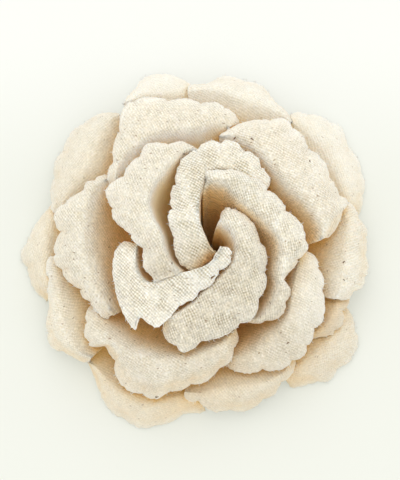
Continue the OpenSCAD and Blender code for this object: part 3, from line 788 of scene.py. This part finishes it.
def dress_petal(petal, shape, rng):
    """The petal's cloth with its billows.

    It gives both sides, the threads' coordinates, the distance from the rim, how far the cloth is down
    the wall, from 0 to 1, and its painted light and shade.
    """
    face, arc, along, flat, lobe_at, painted_tones = shape
    share = np.clip(arc / np.maximum(arc[:, -1:], 1), 0, 1)
    billow = petal["waves"] * ripple(along, arc * BILLOW_SQUASH, BILLOW_SIZE, rng)
    billow = billow * (WALL_BILLOW + RIM_BILLOW * share)
    cup = petal_cup(lobe_at, rng)[:, None] * share**CUP_EASE
    pucker = PUCKER * ripple(along, arc, PUCKER_SIZE, rng)
    face = face + grid_normals(face) * (billow + cup + pucker)[..., None]
    # The cloth's thickness goes to the hidden side, level at the foot
    through = -grid_normals(face)
    through[:, 0, 2] = 0
    back = face + CLOTH_T * unit(through)
    a = math.radians(petal["grain"])
    threads = np.stack([flat[..., 0] * math.cos(a) + flat[..., 1] * math.sin(a),
                        flat[..., 1] * math.cos(a) - flat[..., 0] * math.sin(a)], -1)
    to_rim = arc[:, -1:] - arc
    wall = np.clip(-arc / WALL_DEPTH, 0, 1)
    return face, back, threads, to_rim, wall, painted_tones


class HeightMap:
    """The height of the flower's top over its plan, in square cells."""

    CELL = 0.8
    HALF = 75
    DIRECTIONS = 16
    DISTANCES = (1.2, 2, 3, 4.5, 6.5, 9, 13, 19)

    def __init__(self, points):
        count = int(2 * self.HALF / self.CELL)
        self.height = np.zeros((count, count))
        i, j = self.cells(points)
        np.maximum.at(self.height, (i, j), points[:, 2])

    def cells(self, points):
        return ((points[:, :2] + self.HALF) / self.CELL).astype(int).T

    def sky(self, points):
        """The share of the sky that each point sees."""
        total = np.zeros(len(points))
        for angle in np.arange(self.DIRECTIONS) * 2 * math.pi / self.DIRECTIONS:
            steepest = np.zeros(len(points))
            for distance in self.DISTANCES:
                ahead = np.array([math.cos(angle), math.sin(angle)])
                i, j = self.cells(points[:, :2] + distance * ahead)
                steepest = np.maximum(steepest, (self.height[i, j] - points[:, 2] - SKY_STEP) / distance)
            total += (1 + LIT_SIDE * math.sin(angle)) * (1 - steepest / np.sqrt(1 + steepest**2))
        return total / self.DIRECTIONS


def in_scene(name, data):
    """A new object in the scene."""
    made = bpy.data.objects.new(name, data)
    bpy.context.scene.collection.objects.link(made)
    return made


def build_cloth(name, face, back, threads, values):
    """A closed sheet with a rounded edge, with the threads as UVs and each side's values as attributes."""
    rows, cols = face.shape[:2]
    count = rows * cols
    index = np.arange(count).reshape(rows, cols)
    quads = grid_quads(rows, cols)
    ring = np.concatenate([index[:, 0], index[-1, 1:], index[-2::-1, -1], index[0, -2:0:-1]])
    nearby = np.concatenate([index[:, 1], index[-2, 1:], index[-2::-1, -2], index[1, -2:0:-1]])
    flat_face, flat_back = face.reshape(-1, 3), back.reshape(-1, 3)
    bulge = EDGE_ROUND * unit(flat_face[ring] - flat_face[nearby])
    middle = (flat_face[ring] + flat_back[ring]) / 2 + bulge
    m = 2 * count + np.arange(len(ring))
    following = np.roll(np.arange(len(ring)), -1)
    side = np.concatenate([
        np.stack([ring, m, m[following], ring[following]], -1),
        np.stack([m, ring + count, ring[following] + count, m[following]], -1),
    ])
    faces = np.concatenate([quads, quads[:, ::-1] + count, side])
    # A face of the visible side near the middle of the rim has to look up, or else all are turned over
    corners = flat_face[quads[(rows // 2) * (cols - 1) - 2]]
    if np.cross(corners[2] - corners[0], corners[3] - corners[1])[2] < 0:
        faces = faces[:, ::-1]
    mesh = bpy.data.meshes.new(name)
    points = (np.concatenate([flat_face, flat_back, middle]) + CENTRE) * MM
    mesh.from_pydata(points.tolist(), [], faces.tolist())
    mesh.shade_smooth()
    flat_uv = threads.reshape(-1, 2)
    flat_uv = np.concatenate([flat_uv, flat_uv, flat_uv[ring]])
    corner = np.zeros(len(mesh.loops), int)
    mesh.loops.foreach_get("vertex_index", corner)
    uv = mesh.uv_layers.new(name="Threads").data
    uv.foreach_set("uv", flat_uv[corner].astype(np.float32).ravel())
    for key, sides in values.items():
        front, hidden = (side.reshape(-1) for side in sides)
        value = np.concatenate([front, hidden, front[ring]])
        attribute = mesh.attributes.new(key, "FLOAT", "POINT").data
        attribute.foreach_set("value", value.astype(np.float32))
    return in_scene(name, mesh)


def thin_bars(name, starts, ends, side, widths):
    """One mesh of thin four-sided bars, each with its own start, end, sideways direction and width."""
    points, quads = [], []
    for start, end, across, width in zip(starts, ends, side, widths):
        up = np.cross(unit(end - start), across)
        first = len(points)
        bowed = (start + end) / 2 + BAR_BOW * across
        for at, share in zip((start, bowed, end), BAR_TAPER):
            half = width / 2 * share
            points += [at + half * (a * across + b * up) for a, b in BAR_CORNERS]
        quads += [(first + 3, first + 2, first + 1, first), (first + 8, first + 9, first + 10, first + 11)]
        quads += [(first + r + k, first + r + (k + 1) % 4, first + r + 4 + (k + 1) % 4, first + r + 4 + k)
                  for r in (0, 4) for k in range(4)]
    mesh = bpy.data.meshes.new(name)
    mesh.from_pydata(((np.array(points) + CENTRE) * MM).tolist(), [], quads)
    mesh.shade_smooth()
    return in_scene(name, mesh)


def frays(petals, rng):
    """Short loose threads out of the cut rims."""
    starts, ends, side, widths = [], [], [], []
    for face, back, *_ in petals.values():
        rim = (face[:, -1] + back[:, -1]) / 2
        out = unit(flat_of(face[:, -1] - face[:, -EDGE_POINTS])) - np.array([0, 0, FRAY_DROOP])
        ahead = unit(np.gradient(rim, axis=0))
        for k in np.flatnonzero(rng.uniform(size=len(rim)) < FRAY_SHARE):
            toward = unit(out[k] + rng.normal(0, FRAY_LEAN) * ahead[k] + rng.normal(0, FRAY_STRAY, 3))
            starts.append(rim[k] - FRAY_ROOT * out[k])
            ends.append(rim[k] + rng.uniform(*FRAY_LENGTH) * toward)
            side.append(unit(ahead[k] - toward * (ahead[k] @ toward)))
            widths.append(rng.uniform(*FRAY_WIDTH))
    return thin_bars("loose_threads", starts, ends, side, widths)


def flecks(petals, rng):
    """The dark flecks that the photo shows on the flower, laid on the cloth where the camera sees them."""
    tree = cloth_tree(petals)
    cam = bpy.context.scene.camera
    bpy.context.view_layer.update()
    turn = np.array(cam.matrix_world.to_3x3())
    eye = np.array(cam.matrix_world.translation) / MM - CENTRE
    starts, ends, side, widths = [], [], [], []
    for across, down, long, angle in FLECKS:
        sight = turn @ np.array([across - PHOTO_WIDE / 2, PHOTO_HIGH / 2 - down, -PHOTO_FOCAL])
        where, normal, *_ = tree.ray_cast(Vector(eye), Vector(unit(sight)))
        if where is None:
            continue
        where, normal = np.array(where), np.array(normal)
        normal = normal * np.sign(normal[2])
        a = math.radians(angle)
        ahead = np.array([math.cos(a), math.sin(a), 0])
        ahead = unit(ahead - normal * (ahead @ normal))
        starts.append(where - long / 2 * ahead + FLECK_UP * normal)
        ends.append(where + long / 2 * ahead + FLECK_UP * normal)
        side.append(np.cross(normal, ahead))
        widths.append(rng.uniform(*FLECK_WIDTH) * min(1, long))
    return thin_bars("flax_flecks", starts, ends, side, widths)


class Nodes:
    """Adds nodes to a material and links them."""

    def __init__(self, name):
        self.material = bpy.data.materials.new(name)
        self.material.use_nodes = True
        self.tree = self.material.node_tree
        self.shader = self.tree.nodes["Principled BSDF"]

    def add(self, kind, inputs=(), **settings):
        node = self.tree.nodes.new(kind)
        for key, value in settings.items():
            setattr(node, key, value)
        for key, value in dict(inputs).items():
            if isinstance(value, bpy.types.NodeSocket):
                self.tree.links.new(value, node.inputs[key])
            else:
                node.inputs[key].default_value = value
        return node.outputs

    def math(self, operation, *values, clamp=False):
        return self.add("ShaderNodeMath", dict(enumerate(values)), operation=operation, use_clamp=clamp)[0]

    def times(self, a, b):
        return self.math("MULTIPLY", a, b)

    def scale(self, value, low, high, to_low, to_high):
        """value from low..high to to_low..to_high, smoothly and never outside."""
        return self.add("ShaderNodeMapRange", {0: value, 1: low, 2: high, 3: to_low, 4: to_high},
                        interpolation_type="SMOOTHSTEP")[0]

    def mix(self, factor, a, b, blend="MIX", clamp=True):
        return self.add("ShaderNodeMix", {0: factor, 6: a, 7: b}, data_type="RGBA", blend_type=blend,
                        clamp_factor=clamp)[2]

    def between(self, factor, a, b):
        """As mix, for plain numbers."""
        return self.add("ShaderNodeMix", {0: factor, 2: a, 3: b}, data_type="FLOAT")[0]

    def grey(self, value):
        return self.add("ShaderNodeCombineColor", {0: value, 1: value, 2: value})[0]

    def noise(self, where, scale, detail):
        return self.add("ShaderNodeTexNoise", {"Vector": where, "Scale": scale, "Detail": detail},
                        noise_dimensions="2D")

    def plan(self, x, y):
        return self.add("ShaderNodeCombineXYZ", {0: x, 1: y})[0]

    def attribute(self, name):
        return self.add("ShaderNodeAttribute", attribute_name=name)["Fac"]

    def bump(self, height, strength, distance):
        return self.add("ShaderNodeBump", {"Height": height, "Strength": strength, "Distance": distance})[0]

    def set(self, **values):
        for key, value in values.items():
            self.shader.inputs[key.replace("_", " ")].default_value = value

    def link(self, socket, key):
        self.tree.links.new(socket, self.shader.inputs[key])


def linen_material():
    """Undyed linen in a plain weave, on the threads' coordinates in millimetres, with painted shade in the
    folds, painted light and shade by petal and row, and a painted highlight at the cut rims.
    """
    n = Nodes("linen")
    uv = n.add("ShaderNodeUVMap", uv_map="Threads")["UV"]
    wander = n.noise(uv, WANDER_SCALE, 2.0)["Color"]
    wander = n.add("ShaderNodeVectorMath", {0: wander, 1: (0.5, 0.5, 0.5)}, operation="SUBTRACT")[0]
    wander = n.add("ShaderNodeVectorMath", {0: wander, 3: WANDER}, operation="SCALE")[0]
    moved = n.add("ShaderNodeVectorMath", {0: uv, 1: wander}, operation="ADD")[0]
    place = n.add("ShaderNodeSeparateXYZ", {0: moved})
    x = n.math("DIVIDE", place[0], THREAD)
    y = n.math("DIVIDE", place[1], WEFT_THREAD)
    # A plain weave: threads over and under in turn read as fine slanting rows of dots
    slant = n.math("SINE", n.times(n.math("ADD", x, y), math.pi))
    cross = n.math("SINE", n.times(n.math("SUBTRACT", x, y), math.pi))
    weave = n.math("MULTIPLY_ADD", slant, SLANT, n.times(cross, 1 - SLANT))
    weave = n.math("MULTIPLY_ADD", weave, 0.5, 0.5)
    over = n.math("GREATER_THAN", weave, 0.5)
    # Thick and thin places along each thread, and a tone for each crossing
    slubs_x = n.plan(n.times(place[0], SLUB_ACROSS), n.times(place[1], SLUB_ALONG))
    slubs_y = n.plan(n.times(place[0], SLUB_ALONG), n.times(place[1], SLUB_ACROSS))
    thick_x = n.noise(slubs_x, 1.0, 2.0)[0]
    thick_y = n.noise(slubs_y, 1.0, 2.0)[0]
    slub = n.between(over, thick_y, thick_x)
    crossing_at = n.plan(n.math("FLOOR", x), n.math("FLOOR", y))
    tone = n.add("ShaderNodeTexWhiteNoise", {"Vector": crossing_at}, noise_dimensions="2D")[0]
    loose = n.noise(uv, LOOSE_SCALE, 1.0)[0]
    blotch = n.noise(moved, BLOTCH_SCALE, 1.0)[0]
    mottle = n.noise(uv, MOTTLE_SCALE, 3.0)[0]
    # Small flecks of flax stalk
    stretched = n.plan(n.times(place[0], FLECK_STRETCH[0]), n.times(place[1], FLECK_STRETCH[1]))
    spot = n.add("ShaderNodeTexVoronoi", {"Vector": stretched, "Scale": 1.0}, voronoi_dimensions="2D")
    chance = n.add("ShaderNodeSeparateColor", {0: spot["Color"]})[0]
    fleck = n.math("LESS_THAN", spot["Distance"], n.scale(chance, *FLECK_CHANCE, 0.0, FLECK_RADIUS))
    # Colour, and the painted highlight, light and shade in it
    threads = n.mix(n.scale(slub, *NOISE_RANGE, *SLUB_MIX), THREAD_LOW, THREAD_HIGH)
    gap = n.mix(n.scale(loose, *LOOSE_RANGE, 0.0, 1.0), GAP_TONE, SOFT_GAP_TONE)
    woven = n.mix(n.scale(weave, 0.0, 1.0, 0.0, 1.0), gap, WHITE)
    clear = n.attribute("clear")
    woven = n.mix(clear, MEAN_TONE, woven, clamp=False)
    uneven = n.times(n.scale(tone, 0.0, 1.0, *CROSSING_TONES), n.scale(blotch, *NOISE_RANGE, *BLOTCH_TONES))
    uneven = n.between(clear, 1.0, uneven)
    uneven = n.times(uneven, n.scale(mottle, *NOISE_RANGE, *MOTTLE_TONES))
    woven = n.mix(1.0, n.mix(1.0, threads, woven, "MULTIPLY"), n.grey(uneven), "MULTIPLY")
    flecked = n.mix(n.times(fleck, FLECK_STRENGTH), woven, FLECK_TONE)
    # Painted highlight: the cloth paler and warmer at the very rim
    highlit_rim = n.mix(n.scale(n.attribute("to_rim"), *CUT_EDGE, CUT_EDGE_MIX, 0.0), flecked, RIM_HIGHLIGHT_TONE)
    # Painted shade: the less sky a point sees, the darker and warmer its colour
    tint = n.mix(n.scale(n.attribute("sky"), 0.0, SKY_OPEN, 0.0, 1.0), DEEP_SHADE_TINT, WHITE)
    # Painted light: paler near the rim, by petal and row, and on the wall
    near_rim = n.scale(n.attribute("to_rim"), 0.0, PALE_RIM, PALE_RIM_MIX, 0.0)
    lit_and_shaded = n.mix(n.math("ADD", n.attribute("pale"), near_rim, clamp=True), highlit_rim, PAINTED_LIGHT_TONE)
    # Painted shade: darker by petal and row, and on the wall
    lit_and_shaded = n.mix(n.attribute("painted_shade"), lit_and_shaded, PAINTED_SHADE_TONE, "MULTIPLY")
    n.link(n.mix(1.0, lit_and_shaded, tint, "MULTIPLY"), "Base Color")
    height = n.math("ADD", weave, n.times(slub, SLUB_HEIGHT))
    height = n.math("ADD", height, n.times(tone, CROSSING_HEIGHT))
    n.link(n.bump(height, WEAVE_BUMP, WEAVE_RELIEF * MM), "Normal")
    n.set(Roughness=0.92, Specular_IOR_Level=0.15, Sheen_Weight=0.2, Sheen_Roughness=0.5,
          Sheen_Tint=(1, 0.97, 0.9, 1), Subsurface_Weight=0.6, Subsurface_Radius=(1.0, 0.85, 0.7),
          Subsurface_Scale=1.8 * MM)
    return n.material


def plain_material(name, colour, roughness, grain, metallic=0.0):
    """A slightly uneven colour with a fine grain."""
    n = Nodes(name)
    where = n.add("ShaderNodeTexCoord")["Object"]
    noise = n.add("ShaderNodeTexNoise", {"Vector": where, "Scale": grain, "Detail": 5.0})[0]
    n.link(n.mix(noise, (*(c * GRAIN_DARK for c in colour), 1), (*colour, 1)), "Base Color")
    n.link(n.bump(noise, GRAIN_BUMP, GRAIN_RELIEF * MM), "Normal")
    n.set(Roughness=roughness, Metallic=metallic)
    return n.material


def floor_and_light():
    """A pale floor that glows a little as painted light, so that its shade is soft, and glows less to the
    front as painted shade; an even sky and a large soft light.
    """
    mesh = bpy.data.meshes.new("floor")
    r = FLOOR_HALF
    mesh.from_pydata([(-r, -r, 0), (r, -r, 0), (r, r, 0), (-r, r, 0)], [], [(0, 1, 2, 3)])
    floor = in_scene("floor", mesh)
    n = Nodes("pale_floor")
    n.set(Base_Color=FLOOR, Roughness=0.8, Specular_IOR_Level=0.2, Emission_Strength=1.0)
    across = n.add("ShaderNodeSeparateXYZ", {0: n.add("ShaderNodeTexCoord")["Object"]})[1]
    # Painted shade: the floor's glow dimmer and yellower to the front
    n.link(n.mix(n.scale(across, *FLOOR_FADE, 0.0, 1.0), FRONT_SHADE_GLOW, FAR_GLOW), "Emission Color")
    mesh.materials.append(n.material)
    world = bpy.data.worlds.new("studio")
    world.use_nodes = True
    background = world.node_tree.nodes["Background"]
    background.inputs["Color"].default_value = WORLD_COLOUR
    background.inputs["Strength"].default_value = WORLD
    bpy.context.scene.world = world
    light = bpy.data.lights.new("key", "AREA")
    light.shape = "DISK"
    light.size = LIGHT_SIZE
    light.energy = LIGHT_POWER
    lamp = in_scene("key", light)
    e = math.radians(LIGHT_ELEVATION)
    toward = Vector((0, math.cos(e), math.sin(e)))
    lamp.location = toward * LIGHT_AWAY
    lamp.rotation_euler = toward.to_track_quat("Z", "Y").to_euler()


def camera():
    """The camera that took the photo, nearly above the flower."""
    data = bpy.data.cameras.new("camera")
    data.sensor_width = CAMERA_SENSOR
    data.lens = PHOTO_FOCAL * data.sensor_width / PHOTO_HIGH
    data.clip_start = CAMERA_NEAREST * MM
    elevation = math.radians(CAMERA_ELEVATION)
    offset = Vector((0, -math.cos(elevation), math.sin(elevation)))
    cam = in_scene("camera", data)
    cam.location = Vector(CAMERA_TARGET) * MM + offset * (CAMERA_AWAY * MM)
    cam.rotation_euler = offset.to_track_quat("Z", "Y").to_euler()
    bpy.context.scene.camera = cam


def cloth_values(name, face, to_rim, wall, painted_tones, heights):
    """What the linen reads at each point, for the visible and for the hidden side: the sky it sees, for its
    painted shade, the distance from the rim, how clearly the weave shows, and its painted light and shade.
    """
    sky = heights.sky(face.reshape(-1, 3)).reshape(wall.shape)
    # Painted shade: sink and deep hide sky from the cloth so that it is painted darker and warmer, and a rim
    # gets some of its hidden sky back
    sky = np.clip(sky * (1 - painted_tones["sink"] - painted_tones["deep"] * wall), 0, 1)
    sky += (1 - sky) * RIM_SKY * np.clip(1 - to_rim / RIM_SKY_DEPTH, 0, 1)
    hidden_sky = np.maximum(HIDDEN_SKY * sky, LOW_HIDDEN_SKY * name.startswith(LOW_RINGS))
    # How much painted shade and painted light each point gets, by petal and row, and the more on the wall
    painted_shade = painted_tones["painted_shade"] + painted_tones["shade"] * wall
    pale = painted_tones["pale"] + painted_tones["lift"] * wall
    clear = PETALS[name].get("clear", 1) * np.interp(face[..., 2], CLEAR_HEIGHTS, (LOW_CLEAR, 1))
    return {"sky": (sky, hidden_sky), "to_rim": (to_rim, to_rim), "clear": (clear, clear),
            "pale": (pale, pale), "painted_shade": (painted_shade, painted_shade)}


camera()
floor_and_light()
linen = linen_material()
draws = {name: np.random.default_rng(seed) for seed, name in enumerate(PETALS)}
shapes = {name: shape_petal(petal, draws[name]) for name, petal in PETALS.items()}
settle(shapes)
dressed = {name: dress_petal(PETALS[name], shape, draws[name]) for name, shape in shapes.items()}
heights = HeightMap(np.concatenate([face.reshape(-1, 3) for face, *_ in dressed.values()]))
for name, (face, back, threads, to_rim, wall, painted_tones) in dressed.items():
    values = cloth_values(name, face, to_rim, wall, painted_tones, heights)
    piece = build_cloth(name + "_cloth", face, back, threads, values)
    piece.data.materials.append(linen)
    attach(piece, "root")
    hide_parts(name)

loose = frays(dressed, np.random.default_rng(FRAY_SEED))
for key, value in FRAY_VALUES:
    attribute = loose.data.attributes.new(key, "FLOAT", "POINT").data
    attribute.foreach_set("value", [value] * len(loose.data.vertices))
loose.data.uv_layers.new(name="Threads")
loose.data.materials.append(linen)
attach(loose, "root")
dark = flecks(dressed, np.random.default_rng(FLECK_SEED))
dark.data.materials.append(plain_material("flax_stalk", **FLAX_STALK))
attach(dark, "root")

for node, material in (
    ("backing", plain_material("felt", **FELT)),
    ("brooch_pin", plain_material("steel", **STEEL)),
):
    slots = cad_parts[node].data.materials
    slots.clear()
    slots.append(material)

scene = bpy.context.scene
scene.view_settings.view_transform = "Standard"
scene.view_settings.look = "None"
